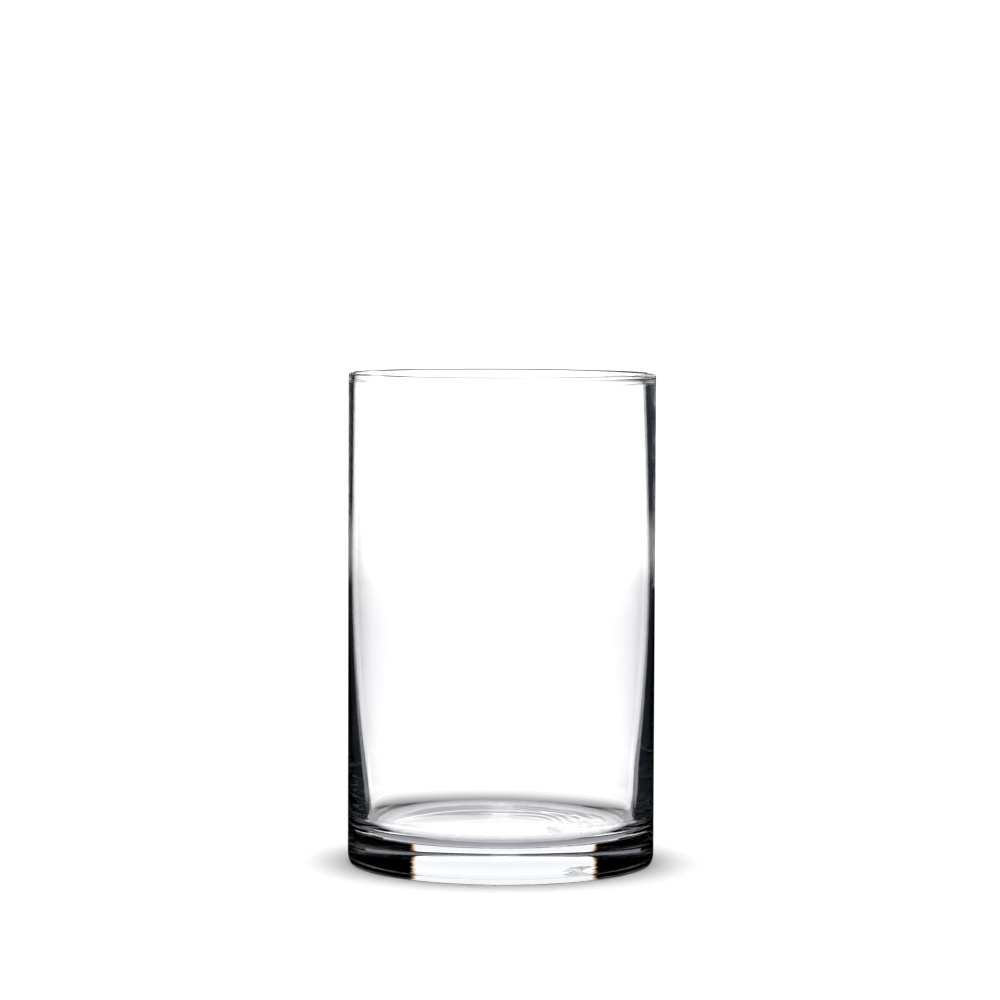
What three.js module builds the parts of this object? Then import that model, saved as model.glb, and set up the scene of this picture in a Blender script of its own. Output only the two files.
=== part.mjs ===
// Glass cylinder vase: a straight, open-topped cylinder of clear glass on a thick solid base,
// with a fire-polished lip, and a small blank paper label under the base.
// Millimetres, +Z up. The origin is on the axis, level with the surface that the vase stands on.

import * as THREE from 'three';

// Outside of the glass
const HEIGHT = 203.2;
const OUTER_RADIUS = 63.5;
const HEEL_INSET = 2.0;
const HEEL_HEIGHT = 4.5;

// Wall thickness: thinnest a little above half height, and thicker towards the lip and the base
const LIP_WALL = 2.9;
const THINNEST_WALL = 1.7;
const CORNER_WALL = 6.6;
const THINNEST_AT = 120;
const LIP_HEIGHT = 1.0;

// Solid base: its upper face is the floor inside, and its underside is hollowed a little,
// so that the vase stands on a flat ring
const FLOOR_HEIGHT = 13.5;
const FLOOR_RADIUS = 50;
const CORNER_TOP = 22;
const FOOT_RING_INNER_RADIUS = 52;
const HOLLOW_DEPTH = 0.8;

// Label, long side towards the front (-Y)
const LABEL_WIDTH = 6;
const LABEL_LENGTH = 20;
const LABEL_CORNER_RADIUS = 1.5;
const LABEL_THICKNESS = 0.12;
const LABEL_CENTRE = new THREE.Vector2(22.5, -8);
const LABEL_GAP = 0.3;

// Facets
const LATHE_SEGMENTS = 96;
const HOLLOW_STEPS = 6;
const HEEL_STEPS = 6;
const LIP_STEPS = 8;
const WALL_STEPS = 16;
const CORNER_STEPS = 6;

const QUARTER_TURN = Math.PI / 2;

// The lip is rounded above this height
const LIP_BASE = HEIGHT - LIP_HEIGHT;

// A point of the outline: distance from the axis, then height.
const outlinePoint = (radius, height) => new THREE.Vector2(radius, height);

// Points along an arc of an ellipse of the outline, both ends included.
function arc(centre, radiusAcross, radiusUp, fromAngle, toAngle, steps) {
  return Array.from({ length: steps + 1 }, (_, i) => {
    const angle = fromAngle + ((toAngle - fromAngle) * i) / steps;
    return outlinePoint(centre.x + radiusAcross * Math.cos(angle), centre.y + radiusUp * Math.sin(angle));
  });
}

// Thickness of the side wall at a height.
function wallThickness(height) {
  const above = Math.max(height - THINNEST_AT, 0) / (HEIGHT - THINNEST_AT);
  const below = Math.max(THINNEST_AT - height, 0) / (THINNEST_AT - CORNER_TOP);
  return THINNEST_WALL + (LIP_WALL - THINNEST_WALL) * above ** 1.2 + (CORNER_WALL - THINNEST_WALL) * below ** 2;
}

// Height of the hollowed underside at a distance from the axis.
function hollowHeight(radius) {
  return HOLLOW_DEPTH * (1 - (radius / FOOT_RING_INNER_RADIUS) ** 2);
}

// Underside, from the axis out to the foot ring.
function hollowOutline() {
  return Array.from({ length: HOLLOW_STEPS + 1 }, (_, i) => {
    const radius = (FOOT_RING_INNER_RADIUS * i) / HOLLOW_STEPS;
    return outlinePoint(radius, hollowHeight(radius));
  });
}

// Inside of the wall, from just under the lip down to just above the inside corner.
function innerWallOutline() {
  return Array.from({ length: WALL_STEPS - 1 }, (_, i) => {
    const height = THREE.MathUtils.lerp(LIP_BASE, CORNER_TOP, (i + 1) / WALL_STEPS);
    return outlinePoint(OUTER_RADIUS - wallThickness(height), height);
  });
}

// The glass is one continuous piece: base, wall and lip are turned from one closed outline.
function makeVessel() {
  const heelCentre = outlinePoint(OUTER_RADIUS - HEEL_INSET, HEEL_HEIGHT);
  const lipCentre = outlinePoint(OUTER_RADIUS - LIP_WALL / 2, LIP_BASE);
  const cornerCentre = outlinePoint(FLOOR_RADIUS, CORNER_TOP);
  const cornerAcross = OUTER_RADIUS - CORNER_WALL - FLOOR_RADIUS;
  const cornerUp = CORNER_TOP - FLOOR_HEIGHT;
  const outline = [
    ...hollowOutline(),
    ...arc(heelCentre, HEEL_INSET, HEEL_HEIGHT, -QUARTER_TURN, 0, HEEL_STEPS),
    ...arc(lipCentre, LIP_WALL / 2, LIP_HEIGHT, 0, 2 * QUARTER_TURN, LIP_STEPS),
    ...innerWallOutline(),
    ...arc(cornerCentre, cornerAcross, cornerUp, 0, -QUARTER_TURN, CORNER_STEPS),
    outlinePoint(0, FLOOR_HEIGHT),
  ];
  const geometry = new THREE.LatheGeometry(outline, LATHE_SEGMENTS);
  geometry.rotateX(QUARTER_TURN);
  return geometry;
}

// A rectangle with rounded corners, centred on the origin.
function roundedRectangle(width, length, radius) {
  const x = width / 2 - radius;
  const y = length / 2 - radius;
  const shape = new THREE.Shape();
  shape.absarc(x, -y, radius, -QUARTER_TURN, 0);
  shape.absarc(x, y, radius, 0, QUARTER_TURN);
  shape.absarc(-x, y, radius, QUARTER_TURN, 2 * QUARTER_TURN);
  shape.absarc(-x, -y, radius, 2 * QUARTER_TURN, 3 * QUARTER_TURN);
  shape.closePath();
  return shape;
}

// The label is flat, and its farthest corner from the axis sets how low it has to lie.
function makeLabel() {
  const farthest = Math.hypot(
    Math.abs(LABEL_CENTRE.x) + LABEL_WIDTH / 2,
    Math.abs(LABEL_CENTRE.y) + LABEL_LENGTH / 2,
  );
  const underside = hollowHeight(farthest) - LABEL_GAP - LABEL_THICKNESS;
  const geometry = new THREE.ExtrudeGeometry(roundedRectangle(LABEL_WIDTH, LABEL_LENGTH, LABEL_CORNER_RADIUS), {
    depth: LABEL_THICKNESS,
    bevelEnabled: false,
    curveSegments: 4,
  });
  geometry.translate(LABEL_CENTRE.x, LABEL_CENTRE.y, underside);
  return geometry;
}

function namedMesh(name, geometry, materialSettings) {
  const mesh = new THREE.Mesh(geometry, new THREE.MeshStandardMaterial(materialSettings));
  mesh.name = name;
  return mesh;
}

const clearGlass = { color: 0xe9f1f0, roughness: 0.04, metalness: 0, transparent: true, opacity: 0.35 };
const whitePaper = { color: 0xf2f1ec, roughness: 0.8, metalness: 0 };

const vase = new THREE.Group();
vase.add(namedMesh('glass_vessel', makeVessel(), clearGlass));
vase.add(namedMesh('underside_label', makeLabel(), whitePaper));

export default vase;
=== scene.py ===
import math

import bpy
from mathutils import Matrix, Vector, noise


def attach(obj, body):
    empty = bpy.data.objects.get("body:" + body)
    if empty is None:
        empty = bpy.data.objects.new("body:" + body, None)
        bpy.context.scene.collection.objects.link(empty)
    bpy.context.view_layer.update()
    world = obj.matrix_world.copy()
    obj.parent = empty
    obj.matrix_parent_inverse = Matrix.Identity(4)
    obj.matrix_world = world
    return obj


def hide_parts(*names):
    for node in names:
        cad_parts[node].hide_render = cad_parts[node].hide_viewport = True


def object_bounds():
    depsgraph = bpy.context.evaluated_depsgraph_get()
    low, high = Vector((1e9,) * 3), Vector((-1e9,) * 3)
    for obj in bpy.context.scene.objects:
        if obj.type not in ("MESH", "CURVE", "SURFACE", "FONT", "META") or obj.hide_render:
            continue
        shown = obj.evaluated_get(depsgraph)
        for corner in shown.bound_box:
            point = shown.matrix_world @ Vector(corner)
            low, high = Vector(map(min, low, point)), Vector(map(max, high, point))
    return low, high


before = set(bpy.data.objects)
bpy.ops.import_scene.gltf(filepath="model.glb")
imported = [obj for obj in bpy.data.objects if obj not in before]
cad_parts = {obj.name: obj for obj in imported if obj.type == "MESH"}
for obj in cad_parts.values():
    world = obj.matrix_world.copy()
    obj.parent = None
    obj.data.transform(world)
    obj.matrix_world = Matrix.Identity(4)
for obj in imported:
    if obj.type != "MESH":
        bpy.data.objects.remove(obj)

cad_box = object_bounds()

MM = 0.001
FULL_TURN = 2 * math.pi
HALF_TURN = math.pi
QUARTER_TURN = math.pi / 2


# ---------------------------------------------------------------- sizes of the glass, in metres

OUTER_RADIUS = cad_box[1].x
HEIGHT = cad_box[1].z
HEEL_HEIGHT = 4.5 * MM
HEEL_INSET = 2.0 * MM
FOOT_RING_INNER_RADIUS = 52.0 * MM
HOLLOW_DEPTH = 0.8 * MM
FLOOR_HEIGHT = 13.5 * MM
FLOOR_RADIUS = 50.0 * MM
CORNER_TOP = 22.0 * MM
LIP_HEIGHT = 1.3 * MM

# The wall where it is thinnest, at the base's corner, and what one side and the lip have more
WALL = 1.5 * MM
THINNEST_AT = 120.0 * MM
CORNER_WALL = 6.6 * MM
THICKER_ON_ONE_SIDE = 0.5 * MM
EXTRA_LIP_WALL = 0.7 * MM
EXTRA_LIP_WALL_ON_ONE_SIDE = 1.2 * MM
LIP_THICKENING_POWER = 1.2

# Mould rings in the floor: how far round and how far out they show, and how much they wander
RIPPLE_AZIMUTH = math.radians(35)
RIPPLE_SIDE_FADE = (0.45, 0.9)
RIPPLE_INNER_FADE = (12 * MM, 26 * MM)
RIPPLE_OUTER_FADE = (44 * MM, 49 * MM)
RIPPLE_DEPTH = 0.02 * MM
RIPPLE_PERIOD = 5.0 * MM
RIPPLE_WANDER = 4
RIPPLE_WANDER_PERIOD = 14 * MM

# Steps of the mesh
SEGMENTS = 288
HOLLOW_STEPS = 20
FOOT_RING_STEPS = 4
HEEL_STEPS = 24
OUTER_WALL_STEPS = 50
LIP_STEPS = 24
INNER_WALL_STEPS = 60
CORNER_STEPS = 20
FLOOR_STEPS = 80
CLOSE_RING = 0.05 * MM


# ---------------------------------------------------------------- sizes of the label

LABEL_WIDTH = 6.0 * MM
LABEL_LENGTH = 20.0 * MM
LABEL_CORNER_RADIUS = 1.5 * MM
LABEL_THICKNESS = 0.12 * MM
LABEL_CENTRE = (22.5 * MM, -8.0 * MM)
LABEL_BITE = 0.02 * MM
LABEL_STEP = 0.5 * MM


# ---------------------------------------------------------------- shape of the glass

def smooth_step(low, high, value):
    share = min(max((value - low) / (high - low), 0.0), 1.0)
    return share * share * (3 - 2 * share)


def wall_thickness(azimuth, height):
    """Thickness of the blown wall, which is greater at the base, at the lip and on the +X side."""
    below = max((THINNEST_AT - height) / (THINNEST_AT - CORNER_TOP), 0.0)
    above = max((height - THINNEST_AT) / (HEIGHT - THINNEST_AT), 0.0)
    side = (0.5 + 0.5 * math.cos(azimuth)) ** 2
    at_base = (CORNER_WALL - WALL) * min(below, 1.0) ** 2
    at_lip = (EXTRA_LIP_WALL + EXTRA_LIP_WALL_ON_ONE_SIDE * side) * above ** LIP_THICKENING_POWER
    at_side = THICKER_ON_ONE_SIDE * side * smooth_step(CORNER_TOP, 2 * CORNER_TOP, height)
    return WALL + at_base + at_lip + at_side


def floor_ripple(azimuth, radius):
    """Faint rings left in the floor by the mould, on its +X side and towards the back."""
    facing = 0.5 + 0.5 * math.cos(azimuth - RIPPLE_AZIMUTH)
    here = smooth_step(*RIPPLE_SIDE_FADE, facing)
    here *= smooth_step(*RIPPLE_INNER_FADE, radius)
    here *= 1 - smooth_step(*RIPPLE_OUTER_FADE, radius)
    place = Vector((radius * math.cos(azimuth), radius * math.sin(azimuth), 0))
    wander = RIPPLE_WANDER * noise.noise(place / RIPPLE_WANDER_PERIOD)
    return RIPPLE_DEPTH * here * math.sin(FULL_TURN * radius / RIPPLE_PERIOD + wander)


def hollow_height(radius):
    """Height of the hollowed underside at a distance from the axis."""
    return HOLLOW_DEPTH * (1 - (radius / FOOT_RING_INNER_RADIUS) ** 2)


def arc(centre_radius, centre_height, radius_across, radius_up, start, end, steps):
    """Points of an elliptical arc of the outline, both ends included."""
    points = []
    for step in range(steps + 1):
        angle = start + (end - start) * step / steps
        across = radius_across * math.cos(angle)
        up = radius_up * math.sin(angle)
        points.append((centre_radius + across, centre_height + up))
    return points


def straight(start, end, steps):
    """Points between two ends of a straight stretch of the outline, neither end included.

    The outermost points lie close to the ends, so that the smooth shading of the curve beyond doesn't
    bend the stretch.
    """
    beside_end = CLOSE_RING / math.dist(start, end)
    shares = [beside_end] + [step / steps for step in range(1, steps)] + [1 - beside_end]
    return [tuple(a + (b - a) * share for a, b in zip(start, end)) for share in shares]


def vessel_outline(azimuth):
    """The glass in section at an azimuth.

    It starts beside the axis under the base, and goes round the outside, over the lip, and down the
    inside to beside the axis on the floor.
    """
    hollow = []
    for step in range(1, HOLLOW_STEPS + 1):
        radius = FOOT_RING_INNER_RADIUS * step / HOLLOW_STEPS
        hollow.append((radius, hollow_height(radius)))
    heel = arc(OUTER_RADIUS - HEEL_INSET, HEEL_HEIGHT, HEEL_INSET, HEEL_HEIGHT, -QUARTER_TURN, 0, HEEL_STEPS)
    foot_ring = straight(hollow[-1], heel[0], FOOT_RING_STEPS)
    half_lip = wall_thickness(azimuth, HEIGHT) / 2
    lip_base = HEIGHT - LIP_HEIGHT
    lip = arc(OUTER_RADIUS - half_lip, lip_base, half_lip, LIP_HEIGHT, 0, HALF_TURN, LIP_STEPS)
    outer_wall = straight(heel[-1], lip[0], OUTER_WALL_STEPS)
    inner_wall = []
    for _, height in straight((0.0, lip_base), (0.0, CORNER_TOP), INNER_WALL_STEPS):
        inner_wall.append((OUTER_RADIUS - wall_thickness(azimuth, height), height))
    corner_across = OUTER_RADIUS - CORNER_WALL - FLOOR_RADIUS
    corner_up = CORNER_TOP - FLOOR_HEIGHT
    corner = arc(FLOOR_RADIUS, CORNER_TOP, corner_across, corner_up, 0, -QUARTER_TURN, CORNER_STEPS)
    floor = []
    for radius, height in straight(corner[-1], (0.0, FLOOR_HEIGHT), FLOOR_STEPS):
        floor.append((radius, height + floor_ripple(azimuth, radius)))
    return hollow + foot_ring + heel + outer_wall + lip + inner_wall + corner + floor


# ---------------------------------------------------------------- meshes

def mesh_object(name, vertices, faces, material, smooth=True):
    mesh = bpy.data.meshes.new(name)
    mesh.from_pydata(vertices, [], faces)
    mesh.polygons.foreach_set("use_smooth", [smooth] * len(mesh.polygons))
    mesh.update()
    mesh.materials.append(material)
    piece = bpy.data.objects.new(name, mesh)
    bpy.context.scene.collection.objects.link(piece)
    return piece


def turned_mesh(outline_at, segments, first_height, last_height):
    """Vertices and outward faces of a body turned about Z, closed by a point on the axis at each end."""
    vertices = [(0.0, 0.0, first_height)]
    azimuths = [FULL_TURN * segment / segments for segment in range(segments)]
    columns = [outline_at(azimuth) for azimuth in azimuths]
    rings = len(columns[0])
    for ring in range(rings):
        for azimuth, column in zip(azimuths, columns):
            radius, height = column[ring]
            vertices.append((radius * math.cos(azimuth), radius * math.sin(azimuth), height))
    vertices.append((0.0, 0.0, last_height))
    last_vertex = len(vertices) - 1
    last_ring = 1 + (rings - 1) * segments
    faces = []
    for here in range(segments):
        after = (here + 1) % segments
        faces.append((0, 1 + after, 1 + here))
        for ring in range(rings - 1):
            low = 1 + ring * segments
            high = low + segments
            faces.append((low + here, low + after, high + after, high + here))
        faces.append((last_ring + here, last_ring + after, last_vertex))
    return vertices, faces


def label_point(across, along):
    """A point of the label, from its place in a rectangle that is centred on the origin.

    A point past one of the rounded corners is brought in to the corner's edge.
    """
    past_across = max(abs(across) - (LABEL_WIDTH / 2 - LABEL_CORNER_RADIUS), 0.0)
    past_along = max(abs(along) - (LABEL_LENGTH / 2 - LABEL_CORNER_RADIUS), 0.0)
    past = math.hypot(past_across, past_along)
    if past > LABEL_CORNER_RADIUS:
        share = 1 - LABEL_CORNER_RADIUS / past
        across -= math.copysign(past_across * share, across)
        along -= math.copysign(past_along * share, along)
    return across + LABEL_CENTRE[0], along + LABEL_CENTRE[1]


def label_mesh():
    """Vertices and faces of a thin sheet with rounded corners that follows the hollow underside."""
    columns = round(LABEL_WIDTH / LABEL_STEP)
    rows = round(LABEL_LENGTH / LABEL_STEP)
    vertices = []
    for row in range(rows + 1):
        for column in range(columns + 1):
            x, y = label_point(LABEL_WIDTH * (column / columns - 0.5), LABEL_LENGTH * (row / rows - 0.5))
            top = hollow_height(math.hypot(x, y)) + LABEL_BITE
            vertices += [(x, y, top), (x, y, top - LABEL_THICKNESS)]
    faces = []
    across = 2 * (columns + 1)
    for row in range(rows):
        for column in range(columns):
            corner = row * across + 2 * column
            top_face = (corner, corner + 2, corner + across + 2, corner + across)
            faces += [top_face, tuple(index + 1 for index in reversed(top_face))]
    last_row = rows * across
    last_column = 2 * columns
    for front in range(0, last_column, 2):
        back = last_row + front
        faces.append((front, front + 1, front + 3, front + 2))
        faces.append((back, back + 2, back + 3, back + 1))
    for left in range(0, last_row, across):
        right = left + last_column
        faces.append((left, left + across, left + across + 1, left + 1))
        faces.append((right, right + 1, right + across + 1, right + across))
    return vertices, faces


# ---------------------------------------------------------------- node helpers

def node_material(name):
    material = bpy.data.materials.new(name)
    material.use_nodes = True
    return material, material.node_tree.nodes, material.node_tree.links


def sums(tree, operation, *values):
    """A Math node of a tree, fed with sockets or plain numbers. Returns its output."""
    node = tree.nodes.new("ShaderNodeMath")
    node.operation = operation
    for socket, value in zip(node.inputs, values):
        if isinstance(value, (int, float)):
            socket.default_value = value
        else:
            tree.links.new(value, socket)
    return node.outputs["Value"]


def object_axes(tree):
    """The outputs of a node that give the object's own coordinates, by their names X, Y and Z."""
    place = tree.nodes.new("ShaderNodeTexCoord")
    axes = tree.nodes.new("ShaderNodeSeparateXYZ")
    tree.links.new(place.outputs["Object"], axes.inputs["Vector"])
    return axes.outputs


def grey(value):
    return (value, value, value)


BLACK = grey(0.0)
WHITE = grey(1.0)


def colour_by(tree, value, stops):
    """Colour that follows a value, from stops of (value, colour) in rising order."""
    low = stops[0][0]
    high = stops[-1][0]
    spread = tree.nodes.new("ShaderNodeMapRange")
    spread.inputs["From Min"].default_value = low
    spread.inputs["From Max"].default_value = high
    tree.links.new(value, spread.inputs["Value"])
    ramp = tree.nodes.new("ShaderNodeValToRGB")
    elements = ramp.color_ramp.elements
    for place, (at, colour) in enumerate(stops):
        share = (at - low) / (high - low)
        if place == 0:
            element = elements[0]
        elif place == len(stops) - 1:
            element = elements[-1]
        else:
            element = elements.new(share)
        element.position = share
        element.color = (*colour, 1)
    tree.links.new(spread.outputs["Result"], ramp.inputs["Fac"])
    return ramp.outputs["Color"]


def both(tree, first, second, operation="MULTIPLY"):
    """Two colours multiplied, or put together by another operation."""
    node = tree.nodes.new("ShaderNodeVectorMath")
    node.operation = operation
    tree.links.new(first, node.inputs[0])
    tree.links.new(second, node.inputs[1])
    return node.outputs["Vector"]


def view_slope(tree):
    """A node whose Facing output is 0 where a surface is seen square on, and 1 where it is seen edge on."""
    slope = tree.nodes.new("ShaderNodeLayerWeight")
    slope.inputs["Blend"].default_value = 0.5
    return slope


# ---------------------------------------------------------------- materials of the vase

GLASS_IOR = 1.52
GLASS_TINT = (0.85, 0.86, 0.87, 1)
GLASS_ABSORPTION = 14.0
WAVE_SLANT = (0.25, 0.15, 0)
WAVES_PER_METRE = (30, 30, 110)
WAVE_DEPTH = 0.02 * MM

FIBRES_PER_METRE = 900
FIBRE_COLOURS = [(0.3, (0.86, 0.85, 0.82)), (0.7, (0.93, 0.925, 0.9))]


def clear_glass():
    """Clear glass with a faint grey tint, and with the faint slanted waves of a blown surface."""
    material, nodes, links = node_material("clear_glass")
    shader = nodes["Principled BSDF"]
    shader.inputs["Base Color"].default_value = (1, 1, 1, 1)
    shader.inputs["Roughness"].default_value = 0.0
    shader.inputs["IOR"].default_value = GLASS_IOR
    shader.inputs["Transmission Weight"].default_value = 1.0
    place = nodes.new("ShaderNodeTexCoord")
    stretch = nodes.new("ShaderNodeMapping")
    stretch.inputs["Rotation"].default_value = WAVE_SLANT
    stretch.inputs["Scale"].default_value = WAVES_PER_METRE
    links.new(place.outputs["Object"], stretch.inputs["Vector"])
    waves = nodes.new("ShaderNodeTexNoise")
    waves.inputs["Scale"].default_value = 1.0
    waves.inputs["Detail"].default_value = 1.0
    links.new(stretch.outputs["Vector"], waves.inputs["Vector"])
    bump = nodes.new("ShaderNodeBump")
    bump.inputs["Strength"].default_value = 1.0
    bump.inputs["Distance"].default_value = WAVE_DEPTH
    links.new(waves.outputs["Fac"], bump.inputs["Height"])
    links.new(bump.outputs["Normal"], shader.inputs["Normal"])
    absorption = nodes.new("ShaderNodeVolumeAbsorption")
    absorption.inputs["Color"].default_value = GLASS_TINT
    absorption.inputs["Density"].default_value = GLASS_ABSORPTION
    links.new(absorption.outputs["Volume"], nodes["Material Output"].inputs["Volume"])
    return material


def white_paper():
    """Uncoated paper: off-white fibres, matt."""
    material, nodes, links = node_material("white_paper")
    shader = nodes["Principled BSDF"]
    fibres = nodes.new("ShaderNodeTexNoise")
    fibres.inputs["Scale"].default_value = FIBRES_PER_METRE
    fibres.inputs["Detail"].default_value = 4
    place = nodes.new("ShaderNodeTexCoord")
    links.new(place.outputs["Object"], fibres.inputs["Vector"])
    shade = colour_by(material.node_tree, fibres.outputs["Fac"], FIBRE_COLOURS)
    links.new(shade, shader.inputs["Base Color"])
    shader.inputs["Roughness"].default_value = 0.85
    shader.inputs["Specular IOR Level"].default_value = 0.2
    return material


# ---------------------------------------------------------------- camera

SENSOR_WIDTH_MM = 36
LENS_MM = 140.3
NEAREST_SEEN = 0.05
CAMERA_PLACE = (-0.8 * MM, -1609 * MM, 249.8 * MM)
CAMERA_LOOKS_DOWN = math.radians(3.53)
CAMERA_ROLL = math.radians(0.22)


def add_camera():
    data = bpy.data.cameras.new("camera")
    data.sensor_width = SENSOR_WIDTH_MM
    data.lens = LENS_MM
    data.clip_start = NEAREST_SEEN
    camera = bpy.data.objects.new("camera", data)
    bpy.context.scene.collection.objects.link(camera)
    place = Matrix.Translation(CAMERA_PLACE)
    tilt = Matrix.Rotation(QUARTER_TURN - CAMERA_LOOKS_DOWN, 4, "X")
    roll = Matrix.Rotation(CAMERA_ROLL, 4, "Z")
    camera.matrix_world = place @ tilt @ roll
    bpy.context.scene.camera = camera
    return camera


# ---------------------------------------------------------------- studio: helpers

def light_rig(camera):
    """An empty on the vase's axis that turns to face the camera, as a turntable's light stand does."""
    rig = bpy.data.objects.new("light_rig", None)
    bpy.context.scene.collection.objects.link(rig)
    track = rig.constraints.new("LOCKED_TRACK")
    track.target = camera
    track.track_axis = "TRACK_NEGATIVE_Y"
    track.lock_axis = "LOCK_Z"
    return rig


def emission(name, colour, strength):
    """Light of one colour, or of a colour made by other nodes when a function that makes it is given."""
    material, nodes, links = node_material(name)
    nodes.remove(nodes["Principled BSDF"])
    shader = nodes.new("ShaderNodeEmission")
    shader.inputs["Strength"].default_value = strength
    if callable(colour):
        links.new(colour(material.node_tree), shader.inputs["Color"])
    else:
        shader.inputs["Color"].default_value = (*colour, 1)
    links.new(shader.outputs["Emission"], nodes["Material Output"].inputs["Surface"])
    return material


def rectangle(name, corners, material):
    piece = mesh_object(name, corners, [(0, 1, 2, 3)], material, smooth=False)
    return piece


def level_square(half_width, height):
    """Corners of a level square centred on the vase's axis."""
    w = half_width
    return [(-w, -w, height), (w, -w, height), (w, w, height), (-w, w, height)]


def seen_only_by(piece, *rays):
    for ray in ("camera", "diffuse", "glossy", "transmission", "volume_scatter", "shadow"):
        setattr(piece, "visible_" + ray, ray in rays)


# ---------------------------------------------------------------- studio: light behind the vase

BACK_LIGHT_DISTANCE = 0.405
BACK_LIGHT_HALF_WIDTH = 0.6
BACK_LIGHT_HEIGHTS = (-0.32, 0.9)
BACK_LIGHT_TURN = 0.021
BACK_LIGHT_STRENGTH = 3.0

SLATS_ACROSS = (1, 0.0236, 0)
SLAT_WEAR_PER_METRE = 300
SLAT_WEAR = 0.06
SLAT_COLOURS = [
    (0.0, WHITE),
    (0.422, WHITE),
    (0.4285, (0.9, 0.6, 0.25)),
    (0.4345, (0.35, 0.12, 0.02)),
    (0.4405, BLACK),
    (1.0, BLACK),
]
BACK_LIGHT_BY_WIDTH = [(0.0, WHITE), (0.3, WHITE), (0.34, BLACK), (0.6, BLACK)]
BACK_LIGHT_BY_HEIGHT = [
    (-0.32, grey(0.3)),
    (-0.12, grey(0.4)),
    (-0.06, (0.42, 0.42, 0.43)),
    (0.0, (0.43, 0.43, 0.44)),
    (0.05, (0.42, 0.42, 0.43)),
    (0.08, (0.46, 0.46, 0.465)),
    (0.11, grey(0.6)),
    (0.15, grey(0.75)),
    (0.2, grey(0.75)),
    (0.26, grey(0.3)),
    (0.3, grey(0.06)),
    (0.9, grey(0.04)),
]

LIP_GLINT_DISTANCE = 0.4
LIP_GLINT_HALF_WIDTH = 0.12
LIP_GLINT_HEIGHTS = (0.2, 0.25)
LIP_GLINT_STRENGTH = 0.7


def upright_corners(half_width, left_distance, right_distance, heights):
    """Corners of an upright card behind the vase."""
    low, high = heights
    return [
        (-half_width, left_distance, low),
        (half_width, right_distance, low),
        (half_width, right_distance, high),
        (-half_width, left_distance, high),
    ]


def back_light_colour(tree):
    """A softbox behind upright slats.

    It is white to what faces it, and dark, past a ragged amber edge, to what sees it from too far
    sideways.
    """
    axes = object_axes(tree)
    wear = tree.nodes.new("ShaderNodeTexNoise")
    wear.noise_dimensions = "1D"
    wear.inputs["Scale"].default_value = SLAT_WEAR_PER_METRE
    wear.inputs["Detail"].default_value = 1
    tree.links.new(axes["Z"], wear.inputs["W"])
    ragged = sums(tree, "MULTIPLY", sums(tree, "SUBTRACT", wear.outputs["Fac"], 0.5), SLAT_WEAR)
    across = tree.nodes.new("ShaderNodeVectorTransform")
    across.vector_type = "VECTOR"
    across.convert_from = "OBJECT"
    across.convert_to = "WORLD"
    across.inputs["Vector"].default_value = SLATS_ACROSS
    slant = view_slope(tree)
    tree.links.new(across.outputs["Vector"], slant.inputs["Normal"])
    sideways = sums(tree, "SUBTRACT", 1.0, slant.outputs["Facing"])
    by_angle = colour_by(tree, sums(tree, "ADD", sideways, ragged), SLAT_COLOURS)
    by_width = colour_by(tree, sums(tree, "ABSOLUTE", axes["X"]), BACK_LIGHT_BY_WIDTH)
    by_height = colour_by(tree, axes["Z"], BACK_LIGHT_BY_HEIGHT)
    return both(tree, both(tree, by_width, by_angle), by_height)


def add_back_light(rig):
    """The softbox, turned a little from the camera, and seen only through glass."""
    nearer = BACK_LIGHT_DISTANCE - BACK_LIGHT_HALF_WIDTH * BACK_LIGHT_TURN
    farther = BACK_LIGHT_DISTANCE + BACK_LIGHT_HALF_WIDTH * BACK_LIGHT_TURN
    corners = upright_corners(BACK_LIGHT_HALF_WIDTH, nearer, farther, BACK_LIGHT_HEIGHTS)
    piece = rectangle("back_light", corners, emission("back_light", back_light_colour, BACK_LIGHT_STRENGTH))
    piece.parent = rig
    seen_only_by(piece, "transmission")


def add_lip_glint(rig):
    """A low white card far behind the lip, seen only as the lip's top mirrors it."""
    distance = LIP_GLINT_DISTANCE
    corners = upright_corners(LIP_GLINT_HALF_WIDTH, distance, distance, LIP_GLINT_HEIGHTS)
    glint = rectangle("lip_glint", corners, emission("lip_glint", WHITE, LIP_GLINT_STRENGTH))
    glint.parent = rig
    seen_only_by(glint, "glossy")


# ---------------------------------------------------------------- studio: dark strips beside the glass

# Height of each station of the strip's inner edge, and how far behind the axis it is
EDGE_CARD_STATIONS = [
    (0.0, 12 * MM),
    (30 * MM, 8 * MM),
    (60 * MM, 4 * MM),
    (90 * MM, 2 * MM),
    (250 * MM, 2 * MM),
]
EDGE_CARD_GAP = 0.05 * MM
EDGE_CARD_REACH = 100 * MM
EDGE_CARD_DARK = (0.02, 0.025, 0.035)
EDGE_CARD_BY_HEIGHT = [
    (0.0, (0.006, 0.008, 0.012)),
    (0.116, EDGE_CARD_DARK),
    (0.127, grey(0.3)),
    (0.137, grey(0.3)),
    (0.148, EDGE_CARD_DARK),
    (0.25, EDGE_CARD_DARK),
]


def edge_card_colour(tree):
    """Nearly black, with a grey band a little above half the vase's height."""
    return colour_by(tree, object_axes(tree)["Z"], EDGE_CARD_BY_HEIGHT)


def add_edge_card(rig, side, material):
    """A dark strip beside the glass, seen through its edge. It leans back towards the thick base."""
    vertices = []
    for height, behind in EDGE_CARD_STATIONS:
        beside_glass = math.sqrt(OUTER_RADIUS ** 2 - behind ** 2) + EDGE_CARD_GAP
        vertices += [(side * beside_glass, behind, height), (side * EDGE_CARD_REACH, behind, height)]
    faces = [(low, low + 1, low + 3, low + 2) for low in range(0, len(vertices) - 2, 2)]
    piece = mesh_object("edge_card", vertices, faces, material, smooth=False)
    piece.parent = rig
    seen_only_by(piece, "transmission")


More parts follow.
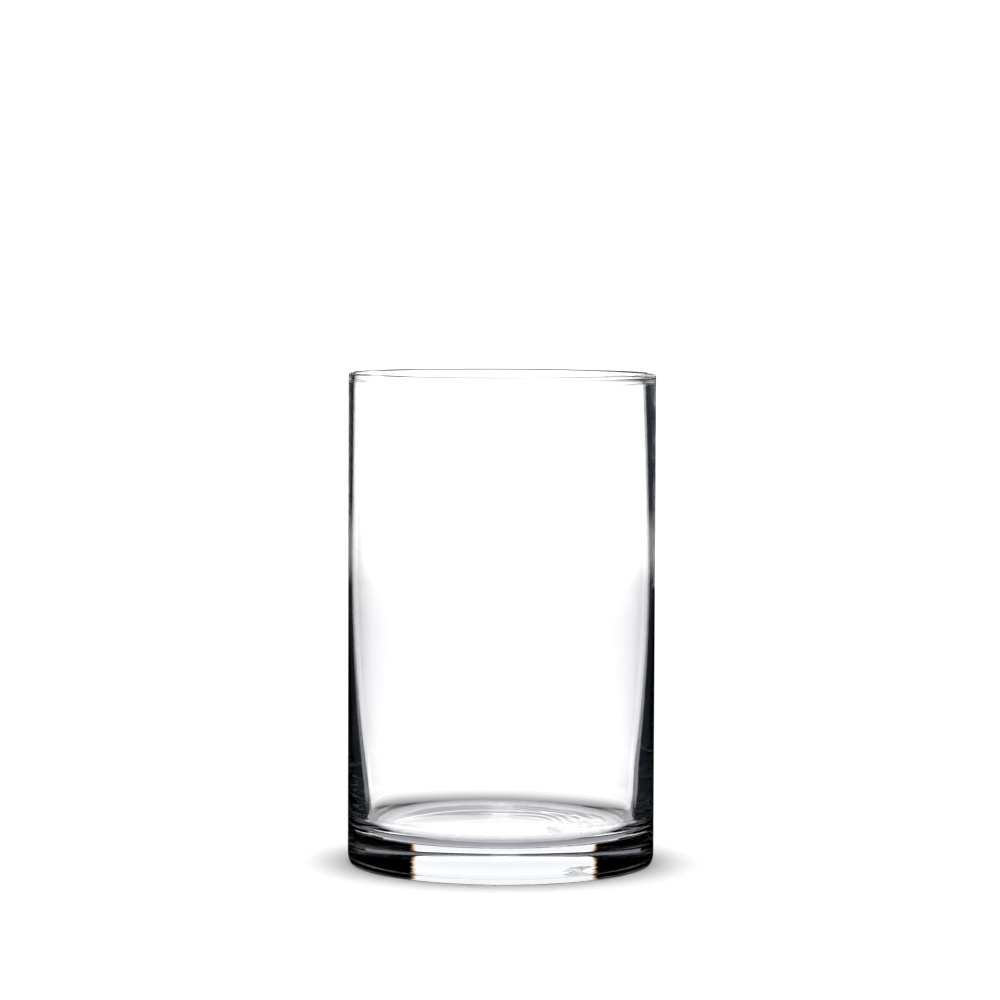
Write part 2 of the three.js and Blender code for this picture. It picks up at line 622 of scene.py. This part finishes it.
# ---------------------------------------------------------------- studio: light above the vase

OVERHEAD_HALF_WIDTH = 0.5
OVERHEAD_HEIGHT = 0.9
OVERHEAD_STRENGTH = 14.0
OVERHEAD_SHARE_FOR_TABLE = 0.09
OVERHEAD_AS_SEEN = [(0.0, grey(0.06)), (0.07, grey(0.06)), (0.1, grey(0.002)), (0.5, grey(0.002))]


def overhead_colour(tree):
    """Brightest to what it lights through the glass, less to the table, and faint where it is seen itself."""
    path = tree.nodes.new("ShaderNodeLightPath")
    diffuse_depth = path.outputs["Diffuse Depth"]
    through_glass = path.outputs["Transmission Depth"]
    rise = 1 - OVERHEAD_SHARE_FOR_TABLE
    share = sums(tree, "MULTIPLY_ADD", through_glass, rise, OVERHEAD_SHARE_FOR_TABLE)
    lit = colour_by(tree, sums(tree, "MULTIPLY", diffuse_depth, share), [(0.0, BLACK), (1.0, WHITE)])
    as_seen = colour_by(tree, sums(tree, "ABSOLUTE", object_axes(tree)["X"]), OVERHEAD_AS_SEEN)
    seen_itself = colour_by(tree, diffuse_depth, [(0.0, WHITE), (1.0, BLACK)])
    return both(tree, lit, both(tree, as_seen, seen_itself), "ADD")


def add_overhead_light(rig):
    material = emission("overhead_light", overhead_colour, OVERHEAD_STRENGTH)
    overhead = rectangle("overhead_light", level_square(OVERHEAD_HALF_WIDTH, OVERHEAD_HEIGHT), material)
    overhead.parent = rig
    seen_only_by(overhead, "transmission", "diffuse")


# ---------------------------------------------------------------- studio: table

TABLE_HALF_WIDTH = 3
# Painted contact shadow on the table around the vase's foot: how far it reaches, which way it looks, and its
# shades
CONTACT_SHADE_REACH = 35 * MM
CONTACT_SHADE_DIRECTION = (0, 0.75, 0.66)
CONTACT_SHADE_SAMPLES = 8
CONTACT_SHADES = [(0.0, grey(0.05)), (0.5, grey(0.42)), (0.82, grey(0.92)), (1.0, grey(0.92))]

# Painted light of the table seen through the glass: how bright it glows, and its painted shade by distance
# from the axis, grey under the vase, darkest in a ring at the foot and white beyond
TABLE_GLOW = 1.3
TABLE_PAINTED_SHADE_BY_DISTANCE = [
    (0.0, (0.48, 0.47, 0.5)),
    (0.045, (0.4, 0.39, 0.42)),
    (0.056, (0.3, 0.3, 0.33)),
    (0.064, (0.2, 0.2, 0.22)),
    (0.067, (0.3, 0.3, 0.32)),
    (0.075, grey(0.5)),
    (0.087, grey(0.78)),
    (0.104, grey(0.96)),
    (0.14, WHITE),
]
# Painted black far from the vase, to what looks steeply down at it, which draws the line of the lip
FAR_TABLE = [(0.17, BLACK), (0.2, WHITE)]
SEEN_STEEPLY = [(0.46, WHITE), (0.51, BLACK)]
TABLE_FADES_FROM = 0.66
TABLE_FADES_TO = 0.75


def table_white():
    """White, with a painted contact shadow: darker close around the foot of the vase, most of all in front of
    it.
    """
    material, nodes, links = node_material("table_white")
    shader = nodes["Principled BSDF"]
    near = nodes.new("ShaderNodeAmbientOcclusion")
    near.samples = CONTACT_SHADE_SAMPLES
    near.inputs["Distance"].default_value = CONTACT_SHADE_REACH
    near.inputs["Normal"].default_value = CONTACT_SHADE_DIRECTION
    # Painted contact shadow: ambient occlusion darkens the table's colour near the vase
    shade = colour_by(material.node_tree, near.outputs["AO"], CONTACT_SHADES)
    links.new(shade, shader.inputs["Base Color"])
    shader.inputs["Roughness"].default_value = 0.5
    shader.inputs["Specular IOR Level"].default_value = 0.0
    return material


def table_through_glass():
    """The table as the glass shows it.

    It glows, though it is no lamp: painted light. It is grey under the vase, a painted shade that is darkest
    in a ring at the foot, and white around it. Far from the vase it is painted black to what looks steeply
    down at it, which draws the line of the lip. It is clear to what sees it from low down, so that the
    back light shows instead.
    """
    material, nodes, links = node_material("table_through_glass")
    tree = material.node_tree
    nodes.remove(nodes["Principled BSDF"])
    axes = object_axes(tree)
    x_squared = sums(tree, "MULTIPLY", axes["X"], axes["X"])
    y_squared = sums(tree, "MULTIPLY", axes["Y"], axes["Y"])
    from_axis = sums(tree, "SQRT", sums(tree, "ADD", x_squared, y_squared))
    slope = view_slope(tree)
    # Painted shade: grey under the vase and darkest in a ring at its foot
    shade = colour_by(tree, from_axis, TABLE_PAINTED_SHADE_BY_DISTANCE)
    far = colour_by(tree, from_axis, FAR_TABLE)
    steep = colour_by(tree, slope.outputs["Facing"], SEEN_STEEPLY)
    kept = sums(tree, "SUBTRACT", 1.0, sums(tree, "MULTIPLY", far, steep))
    # The table glows here though it is no lamp: painted light
    glow = nodes.new("ShaderNodeEmission")
    glow.inputs["Strength"].default_value = TABLE_GLOW
    links.new(both(tree, shade, kept), glow.inputs["Color"])
    clear = nodes.new("ShaderNodeBsdfTransparent")
    fade = nodes.new("ShaderNodeMapRange")
    fade.interpolation_type = "SMOOTHSTEP"
    fade.inputs["From Min"].default_value = TABLE_FADES_FROM
    fade.inputs["From Max"].default_value = TABLE_FADES_TO
    links.new(slope.outputs["Facing"], fade.inputs["Value"])
    mix = nodes.new("ShaderNodeMixShader")
    links.new(fade.outputs["Result"], mix.inputs["Fac"])
    links.new(glow.outputs["Emission"], mix.inputs[1])
    links.new(clear.outputs["BSDF"], mix.inputs[2])
    links.new(mix.outputs["Shader"], nodes["Material Output"].inputs["Surface"])
    return material


def add_table():
    """Two sheets in one place: one is seen directly, and the other through glass."""
    corners = level_square(TABLE_HALF_WIDTH, 0)
    table = rectangle("table", corners, table_white())
    seen_only_by(table, "camera", "diffuse", "shadow")
    under = rectangle("table_through_glass", corners, table_through_glass())
    seen_only_by(under, "transmission")


# ---------------------------------------------------------------- studio: all of it

AROUND_STRENGTH = 1.4
MOST_BOUNCES = 32


def add_studio(camera):
    rig = light_rig(camera)
    add_back_light(rig)
    add_lip_glint(rig)
    dark = emission("edge_card", edge_card_colour, 1.0)
    for side in (-1, 1):
        add_edge_card(rig, side, dark)
    add_overhead_light(rig)
    add_table()


def add_world():
    """White around the table, and black to what is seen through the glass, which the cards light instead."""
    world = bpy.data.worlds.new("studio")
    bpy.context.scene.world = world
    world.use_nodes = True
    world.cycles.sampling_method = "NONE"
    tree = world.node_tree
    path = tree.nodes.new("ShaderNodeLightPath")
    plain = sums(tree, "ADD", path.outputs["Is Camera Ray"], path.outputs["Is Diffuse Ray"])
    background = tree.nodes["Background"]
    background.inputs["Color"].default_value = (1, 1, 1, 1)
    tree.links.new(sums(tree, "MULTIPLY", plain, AROUND_STRENGTH), background.inputs["Strength"])


def set_light_paths():
    """Enough bounces for the many faces of thick glass, and colours as they are."""
    scene = bpy.context.scene
    scene.view_settings.view_transform = "Standard"
    scene.cycles.max_bounces = MOST_BOUNCES
    scene.cycles.transmission_bounces = MOST_BOUNCES
    scene.cycles.glossy_bounces = MOST_BOUNCES


# ---------------------------------------------------------------- the object

vessel_vertices, vessel_faces = turned_mesh(vessel_outline, SEGMENTS, HOLLOW_DEPTH, FLOOR_HEIGHT)
vessel = mesh_object("vessel_glass", vessel_vertices, vessel_faces, clear_glass())
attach(vessel, "root")
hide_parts("glass_vessel")

label_vertices, label_faces = label_mesh()
label = mesh_object("label_paper", label_vertices, label_faces, white_paper(), smooth=False)
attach(label, "root")
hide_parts("underside_label")

add_studio(add_camera())
add_world()
set_light_paths()
